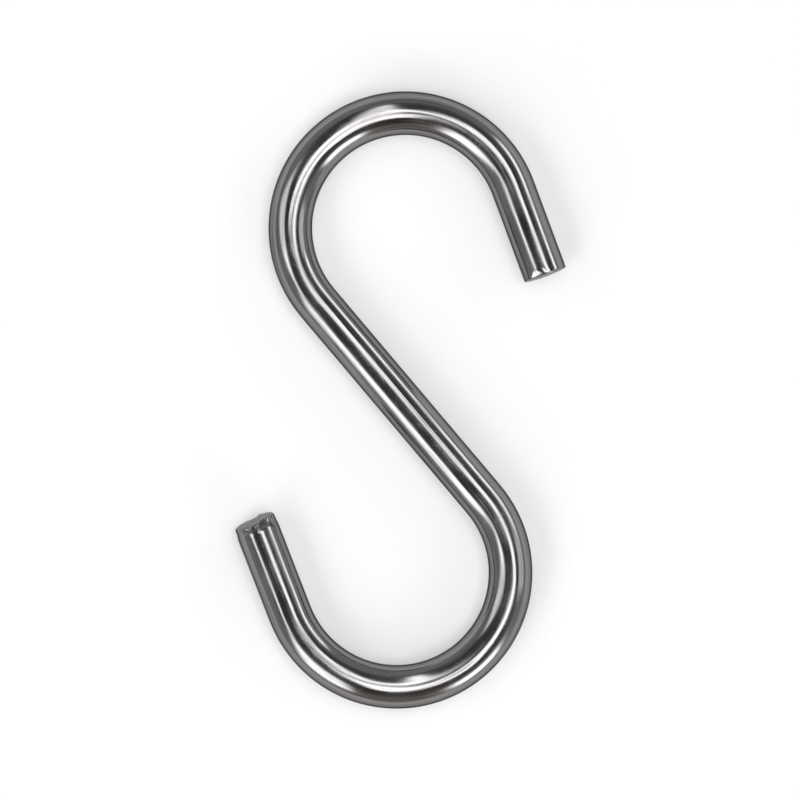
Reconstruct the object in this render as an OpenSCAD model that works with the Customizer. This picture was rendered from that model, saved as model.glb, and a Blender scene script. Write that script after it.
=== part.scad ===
// S hook bent from one length of round steel wire, lying flat on its side.
// Lengths are in millimetres and angles in degrees. +Y runs up the S, +Z is up,
// and the hook rests on Z = 0 with the middle of its outline over the origin.

/* [Wire] */
// Diameter of the round wire
wire_d = 4; // [3:0.1:5]

/* [Shank] */
// Length of the straight shank between the two bends
shank_l = 23.5; // [16:0.5:40]
// Lean of the shank from the long direction of the hook
shank_lean = 40.2; // [34:0.1:46]

/* [Upper hook] */
// Radius of the upper bend, to the middle of the wire
upper_bend_r = 10.5; // [8:0.1:14]
// Angle through which the upper bend turns
upper_bend_angle = 199.9; // [185:0.1:208]
// Length of the straight leg from the upper bend to its cut end
upper_leg_l = 8.5; // [5:0.1:14]
// Tilt of the upper cut face from square, so that it looks a little upward
upper_cut_tilt = 3; // [0:0.5:12]
// Length of wire that the shear rolled down beside the upper cut face
upper_roll_l = 1.1; // [0.6:0.1:2]
// Depth of that rolled lip at the upper cut face
upper_roll_h = 0.3; // [0.1:0.05:0.5]

/* [Lower hook] */
// Radius of the lower bend, to the middle of the wire
lower_bend_r = 10.4; // [8:0.1:14]
// Angle through which the lower bend turns
lower_bend_angle = 199; // [185:0.1:208]
// Length of the straight leg from the lower bend to its cut end
lower_leg_l = 9.1; // [5:0.1:14]
// Tilt of the lower cut face from square, so that it looks a little upward
lower_cut_tilt = 10; // [0:0.5:12]
// Length of wire that the shear rolled down beside the lower cut face
lower_roll_l = 1.3; // [0.6:0.1:2]
// Depth of that rolled lip at the lower cut face
lower_roll_h = 0.2; // [0.1:0.05:0.5]

/* [Cut ends] */
// Radius that tumbling left on the edges of the cut faces
edge_r = 0.2; // [0.1:0.05:0.4]
// Radius of the rolled lips, seen from the side
roll_r = 3; // [2.5:0.1:6]

/* [Hidden] */

$fn = 72;
wire_r = wire_d / 2;

// Each bend is drawn as two arcs, one from each of its ends, so that both ends
// meet their straight wire face to face. The arcs lap by this angle inside the bend.
arc_lap = 2;

// Position angle, round the middle of a bend, at which the bend gives way to its leg
function leg_angle(bend_angle) = 180 + shank_lean - bend_angle;

// How far half of the hook reaches sideways and lengthways from the middle of the shank.
// The furthest point sideways is the corner of the cut end, or the bend if it turns past it.
function bend_middle(bend_r) = [
    bend_r * cos(shank_lean) - shank_l / 2 * sin(shank_lean),
    bend_r * sin(shank_lean) + shank_l / 2 * cos(shank_lean)
];
function corner_reach(bend_r, bend_angle, leg_l) =
    let (a = leg_angle(bend_angle))
    bend_middle(bend_r)[0] + (bend_r + wire_r) * cos(a) + leg_l * sin(a);
function leg_side_reach(bend_r, bend_angle, leg_l) =
    max(corner_reach(bend_r, bend_angle, leg_l), bend_middle(bend_r)[0] + bend_r + wire_r);
function bend_side_reach(bend_r) = bend_r + wire_r - bend_middle(bend_r)[0];
function end_reach(bend_r) = bend_middle(bend_r)[1] + bend_r + wire_r;

upper_leg_side = leg_side_reach(upper_bend_r, upper_bend_angle, upper_leg_l);
lower_leg_side = leg_side_reach(lower_bend_r, lower_bend_angle, lower_leg_l);
x_max = max(upper_leg_side, bend_side_reach(lower_bend_r));
x_min = -max(lower_leg_side, bend_side_reach(upper_bend_r));
y_max = end_reach(upper_bend_r);
y_min = -end_reach(lower_bend_r);

// The whole hook: one piece of wire
module hook() {
    color([0.6, 0.61, 0.62])
    translate([-(x_max + x_min) / 2, -(y_max + y_min) / 2, wire_r])
    rotate([0, 0, 90 + shank_lean])
    union() {
        shank();
        translate([shank_l / 2, 0, 0])
        upper_hook();
        rotate([0, 0, 180])
        translate([shank_l / 2, 0, 0])
        lower_hook();
    }
}

// Shank along X, with its middle at the origin
module shank() {
    translate([-shank_l / 2, 0, 0])
    straight_wire(shank_l);
}

module upper_hook() {
    bend_and_leg(upper_bend_r, upper_bend_angle)
    cut_leg(upper_leg_l, upper_cut_tilt, upper_roll_l, upper_roll_h);
}

module lower_hook() {
    bend_and_leg(lower_bend_r, lower_bend_angle)
    cut_leg(lower_leg_l, lower_cut_tilt, lower_roll_l, lower_roll_h);
}

// A bend that leaves the origin along X and turns to the right, with a leg at its far end
module bend_and_leg(bend_r, bend_angle) {
    half_turn = bend_angle / 2 + arc_lap;
    translate([0, -bend_r, 0]) {
        bend_arc(bend_r, -half_turn);
        rotate([0, 0, -bend_angle]) {
            bend_arc(bend_r, half_turn);
            translate([0, bend_r, 0])
            children();
        }
    }
}

// Wire that turns round Z from the top of its circle
module bend_arc(bend_r, turn) {
    rotate_extrude(angle = turn, start = 90)
    translate([bend_r, 0])
    circle(r = wire_r);
}

module straight_wire(length) {
    rotate([0, 90, 0])
    cylinder(h = length, r = wire_r);
}

// A leg along X that ends in a cropped face: tumbled round its edge, rolled down on the
// side that the blade entered, and tilted where the wire tore through
module cut_leg(leg_l, cut_tilt, roll_l, roll_h) {
    blank_l = leg_l + wire_r * tan(cut_tilt);
    difference() {
        rotate([0, 90, 0])
        rotate_extrude()
        leg_profile(blank_l);
        tilted_cut(leg_l, cut_tilt);
        rolled_lip(leg_l, roll_l, roll_h);
    }
}

// Half of the leg's lengthwise section, with the edge of its end rounded
module leg_profile(blank_l) {
    square([wire_r, blank_l - edge_r]);
    square([wire_r - edge_r, blank_l]);
    translate([wire_r - edge_r, blank_l - edge_r])
    circle(r = edge_r);
}

// Everything past a plane that crosses the middle of the wire at leg_l
module tilted_cut(leg_l, cut_tilt) {
    translate([leg_l, 0, 0])
    rotate([0, -cut_tilt, 0])
    translate([0, -wire_d, -wire_d])
    cube([wire_d, 2 * wire_d, 2 * wire_d]);
}

// Everything above a drum that lies across the wire. The drum's side starts at the top of
// the wire, roll_l short of the cut face, and is roll_h below it at the face.
module rolled_lip(leg_l, roll_l, roll_h) {
    chord = norm([roll_l, roll_h]);
    drum_angle = atan(roll_h / roll_l) - asin(chord / (2 * roll_r));
    translate([leg_l - roll_l, 0, wire_r])
    difference() {
        translate([0, -wire_d, -roll_r])
        cube([wire_d, 2 * wire_d, wire_d + roll_r]);
        translate([-roll_r * sin(drum_angle), 0, -roll_r * cos(drum_angle)])
        rotate([90, 0, 0])
        cylinder(h = 3 * wire_d, r = roll_r, center = true);
    }
}

hook();
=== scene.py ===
"""Looks of an S hook bent from one length of bright steel wire.

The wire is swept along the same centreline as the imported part, with its two cropped
ends, and lies flat on a pale floor under a ring of soft boxes. Lengths are in metres
in the part's own frame: +Y runs up the S, +Z is up and the floor is Z = 0.
"""

import logging
import math
from dataclasses import dataclass, field
from enum import Enum

import bpy
import numpy as np
from mathutils import Matrix, Vector, noise

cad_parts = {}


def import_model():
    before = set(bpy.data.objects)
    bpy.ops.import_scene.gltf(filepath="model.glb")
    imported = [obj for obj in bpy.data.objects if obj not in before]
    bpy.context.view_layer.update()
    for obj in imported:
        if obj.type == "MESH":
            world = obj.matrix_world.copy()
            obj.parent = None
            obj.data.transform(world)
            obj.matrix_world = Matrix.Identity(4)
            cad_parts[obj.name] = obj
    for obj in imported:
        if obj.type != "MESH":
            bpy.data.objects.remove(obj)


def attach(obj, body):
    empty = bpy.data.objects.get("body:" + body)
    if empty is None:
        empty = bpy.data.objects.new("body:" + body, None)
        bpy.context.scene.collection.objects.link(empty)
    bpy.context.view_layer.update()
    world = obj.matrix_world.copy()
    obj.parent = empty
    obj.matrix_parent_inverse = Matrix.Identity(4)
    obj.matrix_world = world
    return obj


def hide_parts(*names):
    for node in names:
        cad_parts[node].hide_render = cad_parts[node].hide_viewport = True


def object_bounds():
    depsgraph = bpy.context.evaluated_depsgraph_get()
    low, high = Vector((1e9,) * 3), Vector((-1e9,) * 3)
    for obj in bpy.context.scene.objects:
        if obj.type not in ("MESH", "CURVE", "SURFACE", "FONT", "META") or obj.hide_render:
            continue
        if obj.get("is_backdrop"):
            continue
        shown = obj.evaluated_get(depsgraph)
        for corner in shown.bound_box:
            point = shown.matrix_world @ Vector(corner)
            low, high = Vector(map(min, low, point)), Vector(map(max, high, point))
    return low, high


LOG = logging.getLogger("s_hook")
MM = 0.001

# How turbulence changes from one octave to the next: fall in strength, rise in scale
OCTAVE_FALL = 0.9
OCTAVE_RISE = 2.1

# Halvings in the search for the skin of a cropped end
SEARCH_STEPS = 40

# Angle over which a lamp without a grid fans out, in degrees
OPEN_SPREAD = 180.0

Span = tuple[float, float]
Triple = tuple[float, float, float]
Socket = bpy.types.NodeSocket


class Grain(Enum):
    """Vertex attributes that tell a finish where it is on the wire."""

    STRAIGHTENED = "straightened"
    TORN = "torn"


def smoothstep(value: np.ndarray, low: float, high: float) -> np.ndarray:
    """Rise smoothly from 0 at low to 1 at high.

    Args:
        value: Numbers to map.
        low: Where the rise starts.
        high: Where the rise ends.

    Returns:
        The mapped numbers, from 0 to 1.
    """
    t = np.clip((value - low) / (high - low), 0.0, 1.0)
    return t * t * (3.0 - 2.0 * t)


def soft_max(a: np.ndarray, b: np.ndarray, width: float) -> np.ndarray:
    """Larger of two distances, with the edge between them rounded.

    Args:
        a: Distances outside the first surface.
        b: Distances outside the second surface.
        width: How far from the edge the rounding reaches.

    Returns:
        The blended distances, never less than the larger one.
    """
    overlap = np.maximum(width - np.abs(a - b), 0.0) / width
    return np.maximum(a, b) + overlap * overlap * width / 4.0


def to_share(value: np.ndarray) -> np.ndarray:
    """Map -1 to 1 onto 0 to 1."""
    return 0.5 + 0.5 * value


def turbulence(points: np.ndarray, scale: float, octaves: int) -> np.ndarray:
    """Perlin turbulence at each point.

    Args:
        points: Points, with X, Y and Z in the last axis.
        scale: Cells of the coarsest octave in a unit of length.
        octaves: Number of octaves.

    Returns:
        One value a point, about -1 to 1.
    """
    values = [
        noise.fractal(Vector(point) * scale, OCTAVE_FALL, OCTAVE_RISE, octaves)
        for point in points.reshape(-1, 3)
    ]
    return np.array(values).reshape(points.shape[:-1])


def spherical(azimuth: float, zenith: float) -> Vector:
    """Direction from angles.

    Args:
        azimuth: Angle from +X towards +Y in degrees.
        zenith: Angle from straight up in degrees.

    Returns:
        The unit vector.
    """
    turn = math.radians(azimuth)
    tip = math.radians(zenith)
    return Vector(
        (math.sin(tip) * math.cos(turn), math.sin(tip) * math.sin(turn), math.cos(tip))
    )


def ring_faces(first: int, spokes: int) -> list[tuple[int, ...]]:
    """Faces between a ring of points and the ring that follows it.

    Args:
        first: Number of the ring's first point.
        spokes: Points in a ring.

    Returns:
        The corners of each face, by number.
    """
    faces = []
    for spoke in range(first, first + spokes):
        after = first + (spoke - first + 1) % spokes
        faces.append((spoke, spoke + spokes, after + spokes, after))
    return faces


class NodeSheet:
    """A node tree, with short ways to add and join its nodes."""

    def __init__(self, tree: bpy.types.NodeTree) -> None:
        """Start from an empty tree.

        Args:
            tree: Tree to fill.
        """
        self.tree = tree
        self.tree.nodes.clear()

    def add(self, kind: str, **settings: object) -> bpy.types.Node:
        """Add a node.

        Args:
            kind: Blender's name of the node type.
            **settings: Properties to set on it.

        Returns:
            The node.
        """
        node = self.tree.nodes.new(kind)
        for key, value in settings.items():
            setattr(node, key, value)
        return node

    def join(self, source: Socket, target: Socket) -> None:
        """Link an output to an input."""
        self.tree.links.new(source, target)

    def parts(self, vector: Socket) -> bpy.types.bpy_prop_collection:
        """Take a vector apart.

        Args:
            vector: Vector to take apart.

        Returns:
            Its parts, by the names of their axes.
        """
        node = self.add("ShaderNodeSeparateXYZ")
        self.join(vector, node.inputs["Vector"])
        return node.outputs

    def stretched(self, scale: Triple, turn: float = 0.0) -> Socket:
        """Coordinates on the straightened wire, scaled.

        Args:
            scale: Scale along the wire and across it, in two directions.
            turn: Turn of the pattern from the wire's own direction, in degrees.

        Returns:
            The coordinates.
        """
        where = self.add("ShaderNodeAttribute", attribute_name=Grain.STRAIGHTENED.value)
        turned = self.add("ShaderNodeVectorRotate", rotation_type="Z_AXIS")
        turned.inputs["Angle"].default_value = math.radians(turn)
        scaled = self.add("ShaderNodeVectorMath", operation="MULTIPLY")
        scaled.inputs[1].default_value = scale
        self.join(where.outputs["Vector"], turned.inputs["Vector"])
        self.join(turned.outputs["Vector"], scaled.inputs[0])
        return scaled.outputs["Vector"]

    def noise(self, where: Socket, detail: float, roughness: float) -> Socket:
        """Noise from 0 to 1.

        Args:
            where: Coordinates, with one cell of the coarsest octave in a unit.
            detail: Number of finer octaves.
            roughness: Weight of the finer octaves.

        Returns:
            The noise value.
        """
        node = self.add("ShaderNodeTexNoise")
        node.inputs["Scale"].default_value = 1.0
        node.inputs["Detail"].default_value = detail
        node.inputs["Roughness"].default_value = roughness
        self.join(where, node.inputs["Vector"])
        return node.outputs["Fac"]

    def spread(self, value: Socket, source: Span, target: Span = (0.0, 1.0)) -> Socket:
        """Map a value smoothly from one range to another, clamped.

        Args:
            value: Value to map.
            source: Range that it comes in.
            target: Range that it is mapped to.

        Returns:
            The mapped value.
        """
        node = self.add("ShaderNodeMapRange", interpolation_type="SMOOTHSTEP")
        names = ("From Min", "From Max", "To Min", "To Max")
        for name, number in zip(names, source + target):
            node.inputs[name].default_value = number
        self.join(value, node.inputs["Value"])
        return node.outputs["Result"]

    def calc(self, operation: str, first: Socket, second: Socket | float = 0.0) -> Socket:
        """Do a sum with one value or two.

        Args:
            operation: Blender's name of the operation.
            first: First value.
            second: Second value, linked or plain.

        Returns:
            The result.
        """
        node = self.add("ShaderNodeMath", operation=operation)
        self.join(first, node.inputs[0])
        if isinstance(second, float):
            node.inputs[1].default_value = second
        else:
            self.join(second, node.inputs[1])
        return node.outputs["Value"]

    def blend(self, share: Socket, first: Socket | Triple, second: Socket | Triple) -> Socket:
        """Mix two colours.

        Args:
            share: Share of the second colour.
            first: First colour, linked or plain.
            second: Second colour, linked or plain.

        Returns:
            The mixed colour.
        """
        node = self.add("ShaderNodeMix", data_type="RGBA")
        self.join(share, node.inputs["Factor"])
        for name, colour in (("A", first), ("B", second)):
            socket = next(s for s in node.inputs if s.name == name and s.type == "RGBA")
            if isinstance(colour, tuple):
                socket.default_value = (*colour, 1.0)
            else:
                self.join(colour, socket)
        return next(s for s in node.outputs if s.type == "RGBA")

    def mix(self, share: Socket, first: Socket, second: Socket) -> Socket:
        """Mix two values.

        Args:
            share: Share of the second value.
            first: First value.
            second: Second value.

        Returns:
            The mixed value.
        """
        node = self.add("ShaderNodeMix", data_type="FLOAT")
        self.join(share, node.inputs[0])
        self.join(first, node.inputs[2])
        self.join(second, node.inputs[3])
        return node.outputs[0]

    def bump(self, height: Socket, depth: float, under: Socket | None = None) -> Socket:
        """Raise a relief.

        Args:
            height: Height of the relief.
            depth: How far a height of 1 stands out.
            under: Normal of the surface that it lies on, if not a smooth one.

        Returns:
            The bumped normal.
        """
        node = self.add("ShaderNodeBump")
        node.inputs["Strength"].default_value = 1.0
        node.inputs["Distance"].default_value = depth
        self.join(height, node.inputs["Height"])
        if under is not None:
            self.join(under, node.inputs["Normal"])
        return node.outputs["Normal"]


@dataclass(frozen=True)
class Pattern:
    """A pattern that runs along the wire.

    Attributes:
        cells: Cells in a metre along the wire and across it, in two directions.
        detail: Number of finer octaves.
        roughness: Weight of the finer octaves.
        turn: Turn of the pattern from the wire's own direction, in degrees.
    """

    cells: Triple
    detail: float = 3.0
    roughness: float = 0.5
    turn: float = 0.0

    def draw(self, sheet: NodeSheet) -> Socket:
        """Add the pattern to a node tree, with values from 0 to 1."""
        where = sheet.stretched(self.cells, self.turn)
        return sheet.noise(where, self.detail, self.roughness)


@dataclass(frozen=True)
class WireFinish:
    """Bright drawn wire, duller and mottled where the shear tore it, with painted shade in
    the hollows of its torn grain.

    Attributes:
        bright: Colour of the bright skin.
        shade: Colour of its faint darker drawing lines.
        torn: Colour of the torn faces.
        torn_painted_shade: Painted shade in the hollows of the torn grain, where its bump is
            low.
        rim: Tint of the bright skin where it is seen edge on.
        torn_rim: Tint of the torn faces there.
        skin_roughness: Lowest and highest roughness of the bright skin.
        torn_roughness: Lowest and highest roughness of the torn faces.
        scratch_roughness: Roughness that a scratch adds.
        drawn: Drawing lines.
        clouds: Patches in which the skin is smoother or rougher.
        hairs: Hairline handling scratches, in two directions.
        grit: Torn grain.
        sheared: Grain drawn out into lines by the blade.
        shade_span: Range of the drawing lines over which the skin darkens.
        hair_span: Range of the hairs over which a scratch shows.
        torn_span: Range of the torn grain over which its colour changes, from painted shade
            in the hollows to the colour of the crests.
        rough_span: Range of a pattern over which the roughness changes.
        shear_span: Heights over which the torn grain turns to shear lines.
        line_depth: Depth of the drawing lines.
        scratch_depth: Depth of a scratch, against that of the drawing lines.
        grit_depth: Depth of the torn grain.
    """

    bright: Triple = (0.240, 0.234, 0.233)
    shade: Triple = (0.11, 0.107, 0.105)
    torn: Triple = (0.33, 0.323, 0.32)
    torn_painted_shade: Triple = (0.16, 0.156, 0.154)
    rim: Triple = (0.18, 0.18, 0.18)
    torn_rim: Triple = (0.75, 0.75, 0.75)
    skin_roughness: Span = (0.1, 0.2)
    torn_roughness: Span = (0.3, 0.5)
    scratch_roughness: float = 0.12
    drawn: Pattern = Pattern((110.0, 4600.0, 4600.0), roughness=0.55)
    clouds: Pattern = Pattern((260.0, 520.0, 520.0))
    hairs: tuple[Pattern, Pattern] = (
        Pattern((240.0, 9000.0, 9000.0), detail=1.0, turn=14.0),
        Pattern((420.0, 12000.0, 12000.0), detail=1.0, turn=-31.0),
    )
    grit: Pattern = Pattern((3000.0, 3000.0, 3000.0), detail=4.0, roughness=0.65)
    sheared: Pattern = Pattern((3000.0, 5200.0, 500.0), roughness=0.6)
    shade_span: Span = (0.5, 0.75)
    hair_span: Span = (0.66, 0.80)
    torn_span: Span = (0.42, 0.62)
    rough_span: Span = (0.3, 0.7)
    shear_span: Span = (-0.4 * MM, 0.5 * MM)
    line_depth: float = 0.0012 * MM
    scratch_depth: float = 0.15
    grit_depth: float = 0.03 * MM

    def material(self) -> bpy.types.Material:
        """Build the material.

        Returns:
            The finished material.
        """
        made = bpy.data.materials.new("bright_wire")
        made.use_nodes = True
        sheet = NodeSheet(made.node_tree)
        lines = self.drawn.draw(sheet)
        clouds = self.clouds.draw(sheet)
        scratch = self._scratches(sheet)
        tornness = sheet.add("ShaderNodeAttribute", attribute_name=Grain.TORN.value)
        torn = tornness.outputs["Fac"]
        grit = self._rip(sheet)
        skin = sheet.blend(sheet.spread(lines, self.shade_span), self.bright, self.shade)
        # The torn colour is mottled, with painted shade: darker in the hollows of the grit
        # that the bump lowers, lighter on its crests.
        tear = sheet.blend(sheet.spread(grit, self.torn_span), self.torn_painted_shade, self.torn)
        smooth = sheet.spread(clouds, self.rough_span, self.skin_roughness)
        dulled = sheet.calc("MULTIPLY", scratch, self.scratch_roughness)
        worn = sheet.calc("ADD", smooth, dulled)
        coarse = sheet.spread(grit, self.rough_span, self.torn_roughness)
        surface = sheet.add("ShaderNodeBsdfPrincipled")
        surface.inputs["Metallic"].default_value = 1.0
        for name, value in (
            ("Base Color", sheet.blend(torn, skin, tear)),
            ("Specular Tint", sheet.blend(torn, self.rim, self.torn_rim)),
            ("Roughness", sheet.mix(torn, worn, coarse)),
            ("Normal", self._relief(sheet, lines, scratch, grit, torn)),
        ):
            sheet.join(value, surface.inputs[name])
        output = sheet.add("ShaderNodeOutputMaterial")
        sheet.join(surface.outputs["BSDF"], output.inputs["Surface"])
        return made

    def _rip(self, sheet: NodeSheet) -> Socket:
        """Torn grain, drawn out into shear lines where the blade entered.

        Args:
            sheet: Node tree to add to.

        Returns:
            Values from 0 in the hollows to 1 on the crests.
        """
        grain = self.grit.draw(sheet)
        sheared = self.sheared.draw(sheet)
        place = sheet.parts(sheet.stretched((1.0, 1.0, 1.0)))
        return sheet.mix(sheet.spread(place["Z"], self.shear_span), grain, sheared)

    def _scratches(self, sheet: NodeSheet) -> Socket:
        """Hairline handling scratches.

        Args:
            sheet: Node tree to add to.

        Returns:
            Values from 0 on clean metal to 1 in a scratch.
        """
        hairs = [sheet.spread(hair.draw(sheet), self.hair_span) for hair in self.hairs]
        return sheet.calc("MAXIMUM", *hairs)

    def _relief(
        self,
        sheet: NodeSheet,
        lines: Socket,
        scratch: Socket,
        grit: Socket,
        torn: Socket,
    ) -> Socket:
        """Fine relief of drawing lines, scratches and torn grit.

        Args:
            sheet: Node tree to add to.
            lines: Drawing lines.
            scratch: Scratches.
            grit: Grit of the torn faces.
            torn: How torn the surface is.

        Returns:
            The bumped normal.
        """
        scored = sheet.calc("MULTIPLY", scratch, self.scratch_depth)
        skin = sheet.bump(sheet.calc("SUBTRACT", lines, scored), self.line_depth)
        return sheet.bump(sheet.calc("MULTIPLY", grit, torn), self.grit_depth, skin)


@dataclass(frozen=True)
class HookArm:
    """One end of the S: a bend and the straight leg after it.

    Attributes:
        bend_r: Radius of the bend, to the middle of the wire.
        bend_angle: Angle of the bend in degrees.
        leg_l: Length of the straight leg.
    """

    bend_r: float
    bend_angle: float
    leg_l: float

    @property
    def bend_l(self) -> float:
        """Length of wire in the bend."""
        return self.bend_r * math.radians(self.bend_angle)


@dataclass
class Centreline:
    """Middle line of the wire, from the upper tip to the lower one.

    Attributes:
        shank_l: Length of the straight shank.
        shank_lean: Lean of the shank from +Y in degrees.
        upper: Upper arm.
        lower: Lower arm.
        middle: Where the middle of the shank lies, seen from above.
        ease: Length over which a bend takes up its curve.
        step: Spacing of the points that the line is kept as.
        runs: Distance of each point from the upper tip, along the wire.
        places: Where each point lies, seen from above.
        headings: Direction of the line at each point, in radians from +X.
    """

    shank_l: float
    shank_lean: float
    upper: HookArm
    lower: HookArm
    middle: Span
    ease: float = 1.6 * MM
    step: float = 0.01 * MM
    runs: np.ndarray = field(init=False)
    places: np.ndarray = field(init=False)
    headings: np.ndarray = field(init=False)

    def __post_init__(self) -> None:
        """Work out the line from its lengths and bends."""
        up = self.upper
        low = self.lower
        joints = np.cumsum([up.leg_l, up.bend_l, self.shank_l, low.bend_l, low.leg_l])
        self.runs = np.linspace(0.0, joints[-1], int(joints[-1] / self.step) + 1)
        curve = self._bow(joints[0], joints[1]) / up.bend_r
        curve -= self._bow(joints[2], joints[3]) / low.bend_r
        start = math.radians(self.shank_lean - 90.0 - up.bend_angle)
        self.headings = start + self._summed(curve)
        along = np.column_stack(
            [self._summed(np.cos(self.headings)), self._summed(np.sin(self.headings))]
        )
        shank_middle = joints[1] + self.shank_l / 2.0
        at_middle = [np.interp(shank_middle, self.runs, along[:, i]) for i in (0, 1)]
        self.places = along + np.array(self.middle) - np.array(at_middle)

    @property
    def length(self) -> float:
        """Whole length of the wire."""
        return float(self.runs[-1])

    def _bow(self, start: float, end: float) -> np.ndarray:
        """Share of a bend's curve at each point, eased at both of its ends.

        Args:
            start: Run along the wire at which the bend starts.
            end: Run along the wire at which it ends.

        Returns:
            Values from 0 on the straight to 1 in the bend.
        """
        half = self.ease / 2.0
        rise = smoothstep(self.runs, start - half, start + half)
        return rise - smoothstep(self.runs, end - half, end + half)

    def _summed(self, values: np.ndarray) -> np.ndarray:
        """Running integral of values along the line.

        Args:
            values: One value a point.

        Returns:
            The integral up to each point.
        """
        slices = (values[1:] + values[:-1]) / 2.0 * np.diff(self.runs)
        return np.concatenate([[0.0], np.cumsum(slices)])

    def at(self, run: float) -> tuple[np.ndarray, np.ndarray, np.ndarray]:
        """Place and directions at a run along the wire.

        Args:
            run: Distance from the upper tip.

        Returns:
            The point, the heading and the direction to the left of it, each in XY.
        """
        place = np.array([np.interp(run, self.runs, self.places[:, i]) for i in (0, 1)])
        angle = float(np.interp(run, self.runs, self.headings))
        ahead = np.array([math.cos(angle), math.sin(angle)])
        return place, ahead, np.array([-ahead[1], ahead[0]])


@dataclass(frozen=True)
class RolledLip:
    """Wire that the shear pressed down beside the cut face.

    Attributes:
        length: Length of wire pressed down, back from the middle of the face.
        slope: Steepest fall of the lip.
        bend_r: Radius over which the fall sets in.
        turn: Direction that the blade came from, in degrees from the top to the left.
        spread: How far the lip reaches round the wire, in degrees.
    """

    length: float
    slope: float
    bend_r: float
    turn: float
    spread: float

    def drop(self, past: np.ndarray, around: np.ndarray) -> np.ndarray:
        """Loss of radius.

        Args:
            past: Distances past the start of the lip.
            around: Angles round the wire from the left to the top.

        Returns:
            How far the skin lies below the round wire.
        """
        reach = self.slope * self.bend_r
        curved = np.clip(past, 0.0, reach)
        straight = np.clip(past - reach, 0.0, None)
        fall = curved**2 / (2.0 * self.bend_r) + self.slope * straight
        off = np.degrees(around) - (90.0 - self.turn)
        off = (off + 180.0) % 360.0 - 180.0
        return fall * np.exp(-((off / self.spread) ** 2))


@dataclass(frozen=True)
class Dents:
    """Small dents that the shear and tumbling left in the metal.

    Attributes:
        fineness: Cells of the coarsest dents in a millimetre.
        octaves: Number of octaves.
        shift: Shift of the dents in millimetres, so that no two kinds agree.
    """

    fineness: float
    octaves: int
    shift: float = 0.0

    def at(self, places: np.ndarray) -> np.ndarray:
        """Values at places in millimetres, about -1 to 1."""
        return turbulence(places + self.shift, self.fineness, self.octaves)


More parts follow.
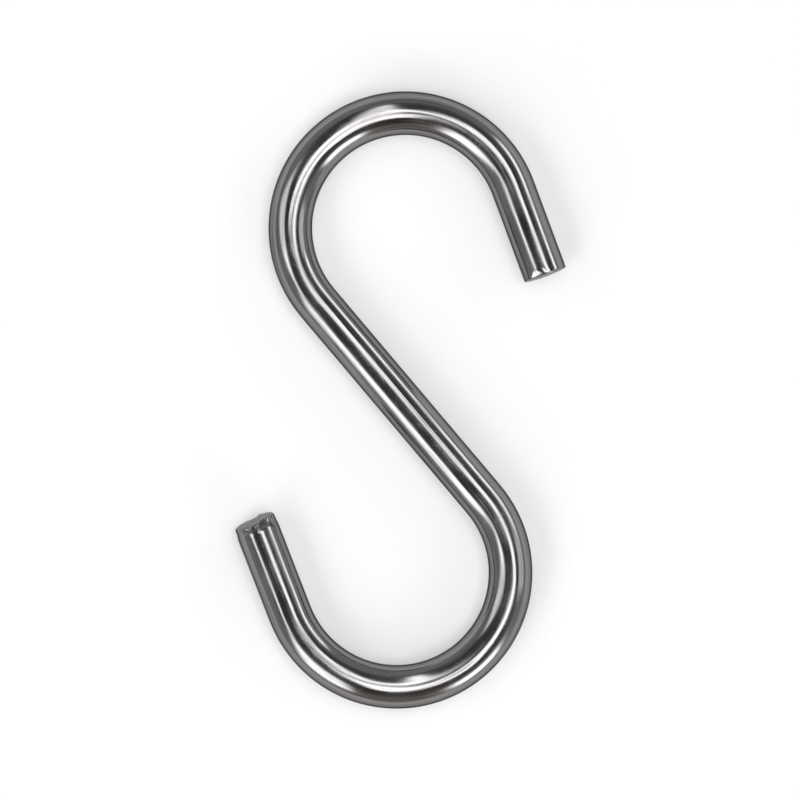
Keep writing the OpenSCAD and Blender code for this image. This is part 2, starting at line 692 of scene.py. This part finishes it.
@dataclass
class CroppedEnd:
    """Skin of a cropped end: wire, cut face and rolled lip, with tumbled edges.

    Its own axes are along the leg towards the tip, across it to the left of the wire's
    run, and up, from the middle of the wire at the joint of leg and bend.

    Attributes:
        arm: Arm whose end this is.
        wire_r: Radius of the wire.
        tilt: Tilt of the cut face from square in degrees, looking upward.
        lip: Lip beside the face.
        seed: Shift of the dents, so that the two ends differ.
        tongue: Height of the torn tongue that stands on the face.
        tongue_at: Where the tongue's side is, in radii left of the wire's middle.
        tongue_foot: How far left of there that side reaches, in radii.
        tongue_brow: How far right of there it reaches, in radii.
        edge: Reach of the rounding on the rim.
        crown: How far the face falls back at its sides.
        torn_edge: Distance from the rim at which the face is fully torn.
        tear: Depth of the torn relief.
        bruise: Depth of the dents beside the face.
        bruise_span: Where they set in and are full, from the start of the lip.
        burr: Height of the ragged burr on the upper rim of the face.
        burr_w: How far the burr spreads from the rim.
        burr_rise: Height in radii above the wire's middle at which it is full.
        burr_share: Share of the burr that stands where its pattern is level.
        crowding: How close the dents lie along the leg and across it, where 1 is plain.
        torn_dents: Pattern of the torn relief.
        bruise_dents: Pattern of the dents beside the face.
        burr_dents: Pattern of the burr.
        reach: Length of leg, back from the face, that the skin covers.
    """

    arm: HookArm
    wire_r: float
    tilt: float
    lip: RolledLip
    seed: float
    tongue: float = 0.0
    tongue_at: float = 0.0
    tongue_foot: float = 0.14
    tongue_brow: float = 0.10
    edge: float = 0.16 * MM
    crown: float = 0.06 * MM
    torn_edge: float = 0.10 * MM
    tear: float = 0.09 * MM
    bruise: float = 0.0
    bruise_span: Span = (-0.2 * MM, 0.7 * MM)
    burr: float = 0.0
    burr_w: float = 0.16 * MM
    burr_rise: float = 0.6
    burr_share: float = 0.35
    crowding: Triple = (0.5, 1.0, 1.0)
    torn_dents: Dents = Dents(1.7, 5)
    bruise_dents: Dents = Dents(1.3, 3, 7.0)
    burr_dents: Dents = Dents(2.6, 2, 3.0)
    reach: float = 2.4 * MM

    def _past_lip(self, point: np.ndarray) -> np.ndarray:
        """Distance past the start of the lip."""
        return point[..., 0] - (self.arm.leg_l - self.lip.length)

    def _side(self, point: np.ndarray) -> np.ndarray:
        """Distance outside the wire's own skin, lip included.

        Args:
            point: Points in the end's own axes.

        Returns:
            Distances, positive outside.
        """
        around = np.arctan2(point[..., 2], point[..., 1])
        radius = self.wire_r - self.lip.drop(self._past_lip(point), around)
        return np.hypot(point[..., 1], point[..., 2]) - radius

    def _face(self, point: np.ndarray) -> np.ndarray:
        """Distance past the cut face.

        Args:
            point: Points in the end's own axes.

        Returns:
            Distances, positive outside.
        """
        lean = math.radians(self.tilt)
        ahead = point[..., 0] - self.arm.leg_l
        flat = ahead * math.cos(lean) + point[..., 2] * math.sin(lean)
        across = point[..., 1] / self.wire_r
        foot = self.tongue_at + self.tongue_foot
        brow = self.tongue_at - self.tongue_brow
        stand = smoothstep(across, foot, brow)
        return flat + self.crown * across**2 - self.tongue * stand

    def _walk(self, way: np.ndarray) -> np.ndarray:
        """Walk out from a point inside the leg until the walk meets the smooth skin.

        Args:
            way: Direction of each walk.

        Returns:
            Where each walk ends, in the end's own axes.
        """
        root = np.array([self.arm.leg_l - self.reach, 0.0, 0.0])
        near = np.zeros(way.shape[:-1])
        far = np.full(way.shape[:-1], 2.0 * self.reach)
        for _ in range(SEARCH_STEPS):
            middle = (near + far) / 2.0
            point = root + way * middle[..., None]
            out = soft_max(self._side(point), self._face(point), self.edge) > 0.0
            far = np.where(out, middle, far)
            near = np.where(out, near, middle)
        return root + way * near[..., None]

    def _wear(self, point: np.ndarray) -> tuple[np.ndarray, np.ndarray]:
        """Torn relief, dents and burr.

        Args:
            point: Points of the smooth skin in the end's own axes.

        Returns:
            How far each point stands out, and how torn it is.
        """
        off_rim = self._face(point) - self._side(point)
        torn = smoothstep(off_rim, 0.0, self.torn_edge)
        beside = smoothstep(self._past_lip(point), *self.bruise_span) * (1.0 - torn)
        top = smoothstep(point[..., 2], 0.0, self.burr_rise * self.wire_r)
        rim = np.exp(-((off_rim / self.burr_w) ** 2)) * top
        places = (point * np.array(self.crowding) + self.seed) / MM
        depth = self.tear * torn * to_share(self.torn_dents.at(places))
        depth += self.bruise * beside * to_share(self.bruise_dents.at(places))
        ragged = np.clip(self.burr_share + self.burr_dents.at(places), 0.0, None)
        return self.burr * rim * ragged - np.clip(depth, 0.0, None), torn

    def skin(self, polar: np.ndarray, around: np.ndarray) -> tuple[np.ndarray, np.ndarray]:
        """Rings of the worn skin.

        Args:
            polar: Angles from the leg's own direction, one a ring.
            around: Angles round the leg, one a spoke.

        Returns:
            Points of each ring in the end's own axes, and how torn each of them is.
        """
        tip, turn = np.meshgrid(polar, around, indexing="ij")
        way = np.stack(
            [np.cos(tip), np.sin(tip) * np.cos(turn), np.sin(tip) * np.sin(turn)],
            axis=-1,
        )
        point = self._walk(way)
        height, torn = self._wear(point)
        return point + way * height[..., None], torn


@dataclass
class SHook:
    """The whole hook: one swept length of wire with two cropped ends.

    Attributes:
        wire_r: Radius of the wire.
        line: Centreline of the wire.
        upper_end: Cropped end of the upper leg.
        lower_end: Cropped end of the lower leg.
        spokes: Points round the wire.
        ring_gap: Spacing of the rings along the wire.
        cap_bands: Rings of an end over its face, rim and side: the first and the last
            angle from the leg's own direction in degrees, and the number of rings.
        waviness: How far drawing and bending left the wire from true.
        wave_cells: Cells of that in a millimetre, along the wire and across it.
        wave_octaves: Octaves of it.
        name: Name of the piece.
    """

    wire_r: float
    line: Centreline
    upper_end: CroppedEnd
    lower_end: CroppedEnd
    spokes: int = 128
    ring_gap: float = 0.3 * MM
    cap_bands: tuple[tuple[float, float, int], ...] = (
        (1.2, 30.0, 25),
        (30.5, 62.0, 64),
        (63.5, 87.5, 17),
    )
    waviness: float = 0.006 * MM
    wave_cells: Triple = (0.14, 0.8, 0.8)
    wave_octaves: int = 3
    name: str = "hook_wire"

    def _cap_angles(self) -> np.ndarray:
        """Angles of a cropped end's rings, close together across its rim."""
        return np.radians(np.concatenate([np.linspace(*band) for band in self.cap_bands]))

    def _tube(self, runs: np.ndarray, turns: np.ndarray) -> np.ndarray:
        """Rings of the wire between the two ends.

        Args:
            runs: Runs along the wire, one a ring.
            turns: Angles round the wire, one a spoke.

        Returns:
            Points, ring by ring.
        """
        rings = []
        for run in runs:
            place, _, left = self.line.at(run)
            grain = np.column_stack(
                [np.full(len(turns), run), np.cos(turns) * MM, np.sin(turns) * MM]
            )
            cells = grain / MM * np.array(self.wave_cells)
            wave = turbulence(cells, 1.0, self.wave_octaves)
            radius = self.wire_r - self.waviness * to_share(wave)
            flat = place + left * (radius * np.cos(turns))[:, None]
            rings.append(np.column_stack([flat, self.wire_r + radius * np.sin(turns)]))
        return np.array(rings)

    def _cap(
        self, end: CroppedEnd, joint_run: float, outward: float, turns: np.ndarray
    ) -> tuple[np.ndarray, np.ndarray, np.ndarray]:
        """Rings of a cropped end, from its face back to the tube.

        Args:
            end: End to build.
            joint_run: Run along the wire where the leg meets its bend.
            outward: 1 if the tip lies ahead along the wire, -1 if behind.
            turns: Angles round the wire, one a spoke.

        Returns:
            Points ring by ring, their straightened places, and how torn each is.
        """
        local, torn = end.skin(self._cap_angles(), turns)
        tip_run = joint_run + outward * end.arm.leg_l
        place, ahead, left = self.line.at(tip_run)
        joint = place - ahead * outward * end.arm.leg_l
        flat = joint + local[..., :1] * ahead * outward + local[..., 1:2] * left
        points = np.concatenate([flat, self.wire_r + local[..., 2:]], axis=-1)
        runs = joint_run + outward * local[..., :1]
        return points, np.concatenate([runs, local[..., 1:]], axis=-1), torn

    def build(self) -> bpy.types.Object:
        """Sweep the wire and close its ends.

        Returns:
            The hook as one closed mesh object.
        """
        line = self.line
        upper = self.upper_end
        lower = self.lower_end
        turns = np.linspace(0.0, 2.0 * math.pi, self.spokes, endpoint=False)
        first = upper.reach
        last = line.length - lower.reach
        count = int(round((last - first) / self.ring_gap)) + 1
        runs = np.linspace(first, last, count)
        tube = self._tube(runs, turns)
        tube_run, tube_turn = np.meshgrid(runs, turns, indexing="ij")
        tube_grain = np.stack(
            [tube_run, self.wire_r * np.cos(tube_turn), self.wire_r * np.sin(tube_turn)],
            axis=-1,
        )
        head, head_grain, head_torn = self._cap(upper, line.upper.leg_l, -1.0, turns)
        tail_joint = line.length - line.lower.leg_l
        tail, tail_grain, tail_torn = self._cap(lower, tail_joint, 1.0, turns)
        rings = np.concatenate([head, tube, tail[::-1]])
        grain = np.concatenate([head_grain, tube_grain, tail_grain[::-1]])
        torn = np.concatenate([head_torn, np.zeros(tube_run.shape), tail_torn[::-1]])
        return self._object(rings, grain, torn)

    def _faces(self, ring_count: int) -> list[tuple[int, ...]]:
        """Faces of the whole skin, with a point at the middle of each tip.

        Args:
            ring_count: Number of rings, from the upper tip to the lower one.

        Returns:
            The corners of each face, by number.
        """
        spokes = self.spokes
        faces = []
        for ring in range(ring_count - 1):
            faces += ring_faces(ring * spokes, spokes)
        last_ring = (ring_count - 1) * spokes
        upper_tip = ring_count * spokes
        lower_tip = upper_tip + 1
        for spoke in range(spokes):
            after = (spoke + 1) % spokes
            faces.append((upper_tip, spoke, after))
            faces.append((lower_tip, last_ring + after, last_ring + spoke))
        return faces

    def _object(
        self, rings: np.ndarray, grain: np.ndarray, torn: np.ndarray
    ) -> bpy.types.Object:
        """Make the mesh object from its rings.

        Args:
            rings: Points ring by ring, from the upper tip to the lower one.
            grain: Place of each point on the straightened wire.
            torn: How torn each point is.

        Returns:
            The object, smooth and with its attributes.
        """
        tips = [rings[0].mean(axis=0), rings[-1].mean(axis=0)]
        points = np.vstack([rings.reshape(-1, 3), tips])
        mesh = bpy.data.meshes.new(self.name)
        mesh.from_pydata(points.tolist(), [], self._faces(len(rings)))
        mesh.shade_smooth()
        tip_grain = [grain[0].mean(axis=0), grain[-1].mean(axis=0)]
        grain = np.vstack([grain.reshape(-1, 3), tip_grain])
        straightened = mesh.attributes.new(Grain.STRAIGHTENED.value, "FLOAT_VECTOR", "POINT")
        straightened.data.foreach_set("vector", grain.ravel())
        tornness = mesh.attributes.new(Grain.TORN.value, "FLOAT", "POINT")
        tornness.data.foreach_set("value", np.concatenate([torn.ravel(), [1.0, 1.0]]))
        hook = bpy.data.objects.new(self.name, mesh)
        bpy.context.scene.collection.objects.link(hook)
        return hook

    def dress(self, hook: bpy.types.Object, finish: WireFinish) -> None:
        """Give the hook its finish and its place in the frame.

        Args:
            hook: Object that build made.
            finish: Finish of the wire.
        """
        hook.data.materials.append(finish.material())
        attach(hook, "root")
        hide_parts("hook")


@dataclass(frozen=True)
class SoftBox:
    """A soft box that faces the hook, given by where it stands in the sky.

    Attributes:
        name: Name of the lamp.
        azimuth: Direction to it round the hook in degrees, from +X towards +Y.
        zenith: Angle from straight up in degrees.
        width: Angle that it spans level, in degrees.
        height: Angle that it spans the other way, in degrees.
        roll: Turn about its own middle in degrees.
        radiance: Brightness of its face, where 1 is white.
        distance: Distance from the hook.
        feather: Share of its face over which it fades towards the edges.
        over: Point of the floor that it is aimed at.
        spread: Angle over which its grid lets the light fan out, in degrees.
    """

    name: str
    azimuth: float
    zenith: float
    width: float
    height: float
    roll: float
    radiance: float
    distance: float = 1.5
    feather: float = 0.5
    over: Span = (0.0, 0.0)
    spread: float = OPEN_SPREAD

    @property
    def gain(self) -> float:
        """How much brighter straight ahead the grid makes a lamp of the same power."""
        half = math.radians(self.spread / 2.0)
        return math.tan(half) / (math.tan(half) - half) if self.spread < OPEN_SPREAD else 1.0

    def _fade(self, lamp: bpy.types.Light) -> None:
        """Let the face of the lamp fade towards its edges.

        Args:
            lamp: Lamp to dress.
        """
        lamp.use_nodes = True
        sheet = NodeSheet(lamp.node_tree)
        where = sheet.add("ShaderNodeNewGeometry")
        place = sheet.parts(where.outputs["Parametric"])
        middle = 0.5
        fade_from = middle - self.feather / 2.0
        sides = []
        for axis in ("X", "Y"):
            off_middle = sheet.calc("ABSOLUTE", sheet.calc("SUBTRACT", place[axis], middle))
            sides.append(sheet.spread(off_middle, (fade_from, middle), (1.0, 0.0)))
        light = sheet.add("ShaderNodeEmission")
        sheet.join(sheet.calc("MULTIPLY", *sides), light.inputs["Strength"])
        output = sheet.add("ShaderNodeOutputLight")
        sheet.join(light.outputs["Emission"], output.inputs["Surface"])

    def build(self) -> bpy.types.Object:
        """Place the lamp.

        Returns:
            The lamp object.
        """
        away = spherical(self.azimuth, self.zenith)
        rise = spherical(self.azimuth, self.zenith - 90.0)
        level = rise.cross(-away)
        turn = math.radians(self.roll)
        across = level * math.cos(turn) + rise * math.sin(turn)
        upright = rise * math.cos(turn) - level * math.sin(turn)
        lamp = bpy.data.lights.new(self.name, "AREA")
        lamp.shape = "RECTANGLE"
        lamp.size = 2.0 * self.distance * math.tan(math.radians(self.width / 2.0))
        lamp.size_y = 2.0 * self.distance * math.tan(math.radians(self.height / 2.0))
        lamp.energy = self.radiance * math.pi * lamp.size * lamp.size_y / self.gain
        lamp.spread = math.radians(self.spread)
        self._fade(lamp)
        stand = bpy.data.objects.new(self.name, lamp)
        axes = Matrix((across, -upright, away)).transposed().to_4x4()
        place = Vector((*self.over, 0.0)) + away * self.distance
        stand.matrix_world = Matrix.Translation(place) @ axes
        stand.visible_camera = False
        bpy.context.scene.collection.objects.link(stand)
        return stand


@dataclass(frozen=True)
class Room:
    """The room round the lamps: dark overhead and white at the horizon.

    Attributes:
        warm_azimuth: Direction of its warm dark side in degrees.
        warm_reach: Angle from there over which it turns plain again, in degrees.
        warm_dark: What that side does to the light.
        steps: Height of each step above the horizon, as a sine, and its brightness.
    """

    warm_azimuth: float = 270.0
    warm_reach: float = 30.0
    warm_dark: Triple = (0.8, 0.7, 0.64)
    steps: tuple[Span, ...] = (
        (0.0, 1.0),
        (0.05, 0.86),
        (0.16, 0.42),
        (0.42, 0.46),
        (0.76, 0.13),
        (1.0, 0.09),
    )

    def _brightness(self, sheet: NodeSheet, where: Socket) -> Socket:
        """Brightness by height above the horizon.

        Args:
            sheet: Node tree to add to.
            where: Direction looked in.

        Returns:
            The brightness, as a grey.
        """
        ramp = sheet.add("ShaderNodeValToRGB")
        bar = ramp.color_ramp
        bar.interpolation = "EASE"
        for height, _ in self.steps[1:-1]:
            bar.elements.new(height)
        for element, (height, brightness) in zip(bar.elements, self.steps):
            element.position = height
            element.color = (brightness, brightness, brightness, 1.0)
        sheet.join(sheet.parts(where)["Z"], ramp.inputs["Fac"])
        return ramp.outputs["Color"]

    def _warmth(self, sheet: NodeSheet, where: Socket) -> Socket:
        """Tint by direction round the hook.

        Args:
            sheet: Node tree to add to.
            where: Direction looked in.

        Returns:
            The tint.
        """
        level = sheet.add("ShaderNodeVectorMath", operation="MULTIPLY")
        level.inputs[1].default_value = (1.0, 1.0, 0.0)
        heading = sheet.add("ShaderNodeVectorMath", operation="NORMALIZE")
        facing = sheet.add("ShaderNodeVectorMath", operation="DOT_PRODUCT")
        facing.inputs[1].default_value = spherical(self.warm_azimuth, 90.0)
        sheet.join(where, level.inputs[0])
        sheet.join(level.outputs["Vector"], heading.inputs[0])
        sheet.join(heading.outputs["Vector"], facing.inputs[0])
        edges = (math.cos(math.radians(self.warm_reach)), 1.0)
        share = sheet.spread(facing.outputs["Value"], edges)
        return sheet.blend(share, (1.0, 1.0, 1.0), self.warm_dark)

    def build(self) -> bpy.types.World:
        """Make the world.

        Returns:
            The world.
        """
        world = bpy.data.worlds.new("room")
        world.use_nodes = True
        sheet = NodeSheet(world.node_tree)
        where = sheet.add("ShaderNodeTexCoord").outputs["Generated"]
        tinted = sheet.add("ShaderNodeVectorMath", operation="MULTIPLY")
        sheet.join(self._brightness(sheet, where), tinted.inputs[0])
        sheet.join(self._warmth(sheet, where), tinted.inputs[1])
        back = sheet.add("ShaderNodeBackground")
        sheet.join(tinted.outputs["Vector"], back.inputs["Color"])
        output = sheet.add("ShaderNodeOutputWorld")
        sheet.join(back.outputs["Background"], output.inputs["Surface"])
        bpy.context.scene.world = world
        return world


@dataclass(frozen=True)
class Floor:
    """Pale floor that the hook lies on.

    Attributes:
        rings: Radius of each ring of points, from the middle out.
        spokes: Points in a ring.
        albedo: Its colour.
        near_glow: Light that it adds to itself close to the hook.
        far_glow: Light that it adds to itself far from the lamps.
        glow_span: Distances between which the far glow takes over.
    """

    rings: tuple[float, ...] = (0.05, 0.15, 0.4, 1.0, 3.0)
    spokes: int = 64
    albedo: float = 0.56
    near_glow: float = 0.32
    far_glow: float = 1.0
    glow_span: Span = (0.16, 1.4)

    def build(self) -> bpy.types.Object:
        """Make the floor.

        Returns:
            The floor object.
        """
        points = [(0.0, 0.0, 0.0)]
        for radius in self.rings:
            for spoke in range(self.spokes):
                turn = 2.0 * math.pi * spoke / self.spokes
                points.append((radius * math.cos(turn), radius * math.sin(turn), 0.0))
        faces = [(0, 1 + i, 1 + (i + 1) % self.spokes) for i in range(self.spokes)]
        for ring in range(len(self.rings) - 1):
            faces += ring_faces(1 + ring * self.spokes, self.spokes)
        mesh = bpy.data.meshes.new("floor")
        mesh.from_pydata(points, [], faces)
        mesh.materials.append(self.material())
        floor = bpy.data.objects.new("floor", mesh)
        bpy.context.scene.collection.objects.link(floor)
        floor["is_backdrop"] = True
        return floor

    def material(self) -> bpy.types.Material:
        """Pale matt surface, brought up to white where the camera and the metal see it.

        Returns:
            The material.
        """
        made = bpy.data.materials.new("pale_floor")
        made.use_nodes = True
        sheet = NodeSheet(made.node_tree)
        where = sheet.add("ShaderNodeTexCoord")
        reach = sheet.add("ShaderNodeVectorMath", operation="LENGTH")
        sheet.join(where.outputs["Object"], reach.inputs[0])
        glow = sheet.spread(
            reach.outputs["Value"], self.glow_span, (self.near_glow, self.far_glow)
        )
        path = sheet.add("ShaderNodeLightPath").outputs
        mirrored = sheet.calc("MAXIMUM", path["Is Glossy Ray"], path["Is Transmission Ray"])
        seen = sheet.calc("MAXIMUM", path["Is Camera Ray"], mirrored)
        paper = sheet.add("ShaderNodeBsdfDiffuse")
        paper.inputs["Color"].default_value = (self.albedo,) * 3 + (1.0,)
        light = sheet.add("ShaderNodeEmission")
        sheet.join(sheet.calc("MULTIPLY", glow, seen), light.inputs["Strength"])
        both = sheet.add("ShaderNodeAddShader")
        sheet.join(paper.outputs["BSDF"], both.inputs[0])
        sheet.join(light.outputs["Emission"], both.inputs[1])
        output = sheet.add("ShaderNodeOutputMaterial")
        sheet.join(both.outputs["Shader"], output.inputs["Surface"])
        return made


@dataclass(frozen=True)
class OverheadCamera:
    """Camera that looks straight down at the hook.

    Attributes:
        lens: Focal length in millimetres.
        sensor: Width of its sensor in millimetres.
        width: Width in view at the height of the wire's middle.
        aim: Point that it is over.
        clip_start: Nearest distance that it sees.
    """

    lens: float = 400.0
    sensor: float = 36.0
    width: float = 73.0 * MM
    aim: Triple = (0.0, 0.0, 2.0 * MM)
    clip_start: float = 0.01

    def build(self) -> bpy.types.Object:
        """Make the camera and hand it to the scene.

        Returns:
            The camera object.
        """
        data = bpy.data.cameras.new("overhead")
        data.lens = self.lens
        data.sensor_width = self.sensor
        data.clip_start = self.clip_start
        camera = bpy.data.objects.new("overhead", data)
        rise = self.width * self.lens / self.sensor
        camera.location = Vector(self.aim) + Vector((0.0, 0.0, rise))
        bpy.context.scene.collection.objects.link(camera)
        bpy.context.scene.camera = camera
        return camera


@dataclass(frozen=True)
class Studio:
    """Floor, room, soft boxes and camera.

    Attributes:
        floor: Floor that the hook lies on.
        room: Room that it mirrors.
        camera: Camera over it.
        soft_boxes: Lamps round it, each with its name, azimuth, zenith, width, height,
            roll and radiance.
    """

    floor: Floor = Floor()
    room: Room = Room()
    camera: OverheadCamera = OverheadCamera()
    soft_boxes: tuple[SoftBox, ...] = (
        SoftBox("key_left", 232.0, 56.0, 33.0, 44.0, -16.0, 4.6),
        SoftBox("key_right", 309.0, 69.0, 33.0, 30.0, 0.0, 4.8),
        SoftBox("strip_top", 102.0, 32.0, 9.5, 54.0, 3.0, 4.4, feather=0.7),
        SoftBox("side_left", 174.0, 46.0, 46.0, 31.0, -33.0, 2.2),
        SoftBox("high_left", 200.0, 39.0, 22.0, 11.0, 0.0, 3.2),
        SoftBox("overhead_near", 300.0, 17.5, 25.0, 21.0, 30.0, 4.6, feather=0.3),
        SoftBox("overhead_right", 17.0, 19.0, 18.0, 45.0, 87.0, 4.2, feather=0.45),
        SoftBox("overhead_back", 80.0, 12.0, 16.0, 15.0, 0.0, 3.8, feather=0.4),
        SoftBox("side_right", 2.5, 58.0, 30.0, 36.0, 0.0, 1.3),
        SoftBox("corner_right", 31.0, 66.0, 34.0, 16.0, 8.0, 3.8),
        SoftBox(
            "spot_upper_bend", 0.0, 0.0, 17.0, 21.5, 0.0, 5.6,
            distance=0.06, feather=0.35, over=(-10.0 * MM, 24.5 * MM), spread=46.0,
        ),
        SoftBox(
            "spot_lower_bend", 0.0, 0.0, 32.0, 11.0, 0.0, 3.8,
            distance=0.06, feather=0.4, over=(-3.5 * MM, -37.0 * MM), spread=90.0,
        ),
    )

    def build(self) -> None:
        """Set everything up."""
        self.floor.build()
        self.room.build()
        for box in self.soft_boxes:
            box.build()
            LOG.info("soft box %s", box.name)
        self.camera.build()
        bpy.context.scene.view_settings.view_transform = "Standard"


def wire_hook() -> SHook:
    """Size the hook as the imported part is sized.

    Returns:
        The hook, ready to build.
    """
    wire_r = 2.0 * MM
    upper = HookArm(bend_r=10.5 * MM, bend_angle=199.9, leg_l=8.5 * MM)
    lower = HookArm(bend_r=10.4 * MM, bend_angle=199.0, leg_l=9.1 * MM)
    line = Centreline(
        shank_l=23.5 * MM,
        shank_lean=40.2,
        upper=upper,
        lower=lower,
        middle=(0.0513 * MM, -0.0823 * MM),
    )
    upper_end = CroppedEnd(
        arm=upper,
        wire_r=wire_r,
        tilt=3.0,
        lip=RolledLip(length=0.95 * MM, slope=0.5, bend_r=1.8 * MM, turn=23.0, spread=27.0),
        seed=0.013,
    )
    lower_end = CroppedEnd(
        arm=lower,
        wire_r=wire_r,
        tilt=9.0,
        lip=RolledLip(length=1.1 * MM, slope=0.45, bend_r=0.7 * MM, turn=0.0, spread=60.0),
        seed=0.041,
        tongue=0.2 * MM,
        tongue_at=-0.25,
        tear=0.14 * MM,
        bruise=0.14 * MM,
        burr=0.09 * MM,
    )
    return SHook(wire_r, line, upper_end, lower_end)


def main() -> None:
    """Build the hook and its studio, and log how large both models are."""
    logging.basicConfig(level=logging.INFO, format="%(name)s: %(message)s")
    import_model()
    cad_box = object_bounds()
    hook = wire_hook()
    piece = hook.build()
    hook.dress(piece, WireFinish())
    faces = len(piece.data.polygons)
    LOG.info("%s: %d faces, %.1f mm of wire", piece.name, faces, hook.line.length / MM)
    Studio().build()
    visual_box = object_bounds()
    for name, box in (("packed", cad_box), ("dressed", visual_box)):
        size = (box[1] - box[0]) / MM
        LOG.info("%s size %.3f x %.3f x %.3f mm", name, *size)


if __name__ == "__main__":
    main()
